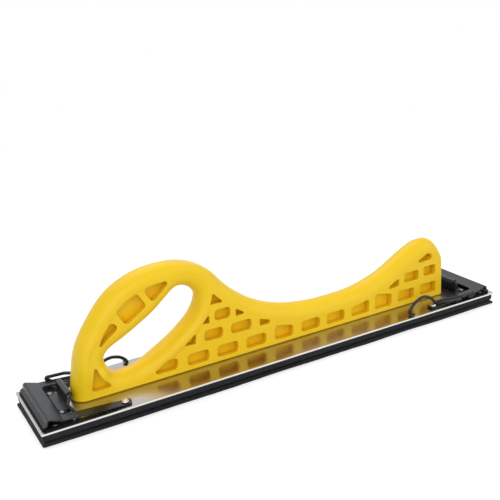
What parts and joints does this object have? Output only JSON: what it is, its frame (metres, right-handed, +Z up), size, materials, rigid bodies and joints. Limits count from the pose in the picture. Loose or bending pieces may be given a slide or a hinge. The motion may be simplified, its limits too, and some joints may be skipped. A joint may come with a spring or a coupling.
{
  "type": "longboard sanding block",
  "caption": "Hand sanding longboard: moulded loop-and-horn handle on a stiff plate, cushioned sanding face, and a sprung paper clip with a wire lever at each end.",
  "frame": {"origin": "on the sanding face, under the middle of the plate", "axes": "+X along the block from the loop of the handle to its horn, +Y to the side that the rear lever is on, +Z up"},
  "size_m": [0.4266, 0.071, 0.101],
  "materials": {
    "yellow_plastic": "satin gloss moulded plastic",
    "polished_aluminium": "polished, faint lengthwise brushing",
    "black_foam": "matte closed-cell foam",
    "black_vinyl": "smooth satin face sheet",
    "black_steel": "semi-gloss black coating",
    "black_wire": "semi-gloss black coating",
    "bright_steel": "bright plated"
  },
  "bodies": {
    "root": {"handle": "yellow_plastic", "base_plate": "polished_aluminium", "foam_cushion": "black_foam", "pad_face": "black_vinyl", "handle_screw_1": "bright_steel", "handle_screw_2": "bright_steel", "handle_screw_3": "bright_steel", "handle_screw_4": "bright_steel", "handle_screw_5": "bright_steel", "handle_screw_6": "bright_steel", "rear_clip_base": "black_steel", "rear_base_rivet_left": "bright_steel", "rear_base_rivet_right": "bright_steel", "rear_corner_rivet_left": "bright_steel", "rear_corner_rivet_right": "bright_steel", "rear_arm_rivet_left": "bright_steel", "rear_arm_rivet_right": "bright_steel", "front_clip_base": "black_steel", "front_base_rivet_left": "bright_steel", "front_base_rivet_right": "bright_steel", "front_corner_rivet_left": "bright_steel", "front_corner_rivet_right": "bright_steel", "front_arm_rivet_left": "bright_steel", "front_arm_rivet_right": "bright_steel"},
    "rear_clamp": {"rear_clamp": "black_steel"},
    "rear_lever": {"rear_lever": "black_wire"},
    "front_clamp": {"front_clamp": "black_steel"},
    "front_lever": {"front_lever": "black_wire"}
  },
  "joints": [
    {"name": "rear_lever_lift", "type": "hinge", "parent": "root", "child": "rear_lever", "pos_m": [-0.18473, 0, 0.0214], "axis": [0, -1, 0], "range_deg": [0, 50]},
    {"name": "rear_clamp_lift", "type": "hinge", "parent": "root", "child": "rear_clamp", "pos_m": [-0.14943, 0, 0.0112], "axis": [0, 1, 0], "range_deg": [0, 7.5], "stiffness_Nm_per_rad": 1.5, "springref_deg": -1.72},
    {"name": "front_lever_lift", "type": "hinge", "parent": "root", "child": "front_lever", "pos_m": [0.18372, 0, 0.0214], "axis": [0, 1, 0], "range_deg": [0, 50]},
    {"name": "front_clamp_lift", "type": "hinge", "parent": "root", "child": "front_clamp", "pos_m": [0.14433, 0, 0.0112], "axis": [0, -1, 0], "range_deg": [0, 7.5], "stiffness_Nm_per_rad": 1.5, "springref_deg": -1.72}
  ],
  "couplings": [
    {"joint": "rear_clamp_lift", "follows": "rear_lever_lift", "ratio": 0.148},
    {"joint": "front_clamp_lift", "follows": "front_lever_lift", "ratio": 0.148}
  ]
}
